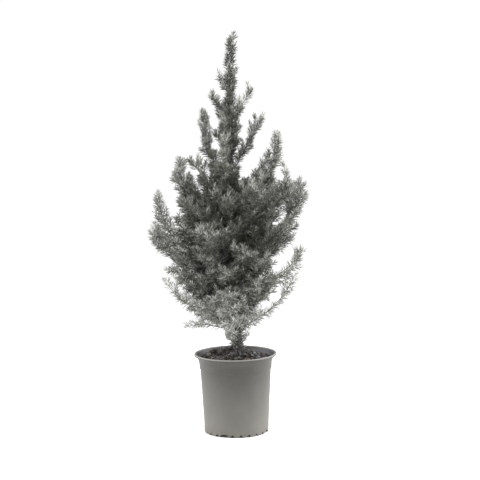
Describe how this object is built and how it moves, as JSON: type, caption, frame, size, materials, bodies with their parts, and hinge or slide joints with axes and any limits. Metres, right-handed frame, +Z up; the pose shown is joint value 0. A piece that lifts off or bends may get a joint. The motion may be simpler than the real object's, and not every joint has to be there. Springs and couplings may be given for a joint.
{
  "type": "potted alberta spruce",
  "caption": "Young dwarf spruce with upswept frosted boughs on one leader, growing in a round plastic nursery pot with a flared rim.",
  "frame": {"origin": "middle of the pot's flat underside, on the ground", "axes": "+Z up the plant, +X to the right of the front view, -Y towards the front"},
  "size_m": [0.3022, 0.2591, 0.725],
  "materials": {
    "pot_plastic": "matt warm grey, sprayed",
    "potting_soil": "moist peat with pale bits",
    "bark": "rough grey-brown bark with a frosted coat",
    "frosted_needles": "matt grey-green with a silvery coat"
  },
  "bodies": {
    "root": {"pot": "pot_plastic", "soil": "potting_soil", "trunk": "bark", "bough_left_1": "bark", "bough_right_1": "bark", "bough_left_2": "bark", "bough_front_1": "bark", "bough_back_1": "bark", "bough_right_2": "bark", "bough_front_2": "bark", "bough_left_3": "bark", "bough_right_3": "bark", "bough_left_4": "bark", "bough_back_2": "bark", "bough_front_3": "bark", "bough_right_4": "bark", "bough_back_3": "bark", "bough_left_5": "bark", "bough_front_4": "bark", "bough_right_5": "bark", "bough_back_4": "bark", "bough_right_6": "bark", "bough_left_6": "bark", "bough_front_5": "bark", "bough_left_7": "bark", "bough_right_7": "bark", "foliage_left_1": "frosted_needles", "foliage_right_1": "frosted_needles", "foliage_left_2": "frosted_needles", "foliage_front_1": "frosted_needles", "foliage_back_1": "frosted_needles", "foliage_right_2": "frosted_needles", "foliage_front_2": "frosted_needles", "foliage_left_3": "frosted_needles", "foliage_right_3": "frosted_needles", "foliage_left_4": "frosted_needles", "foliage_back_2": "frosted_needles", "foliage_front_3": "frosted_needles", "foliage_right_4": "frosted_needles", "foliage_back_3": "frosted_needles", "foliage_left_5": "frosted_needles", "foliage_front_4": "frosted_needles", "foliage_right_5": "frosted_needles", "foliage_back_4": "frosted_needles", "foliage_right_6": "frosted_needles", "foliage_left_6": "frosted_needles", "foliage_front_5": "frosted_needles", "foliage_left_7": "frosted_needles", "foliage_right_7": "frosted_needles", "foliage_shoot_1": "frosted_needles", "foliage_shoot_2": "frosted_needles", "foliage_shoot_3": "frosted_needles", "foliage_shoot_4": "frosted_needles", "foliage_shoot_5": "frosted_needles", "foliage_shoot_6": "frosted_needles", "foliage_shoot_7": "frosted_needles", "foliage_shoot_8": "frosted_needles", "foliage_shoot_9": "frosted_needles", "foliage_leader": "frosted_needles"}
  },
  "joints": []
}
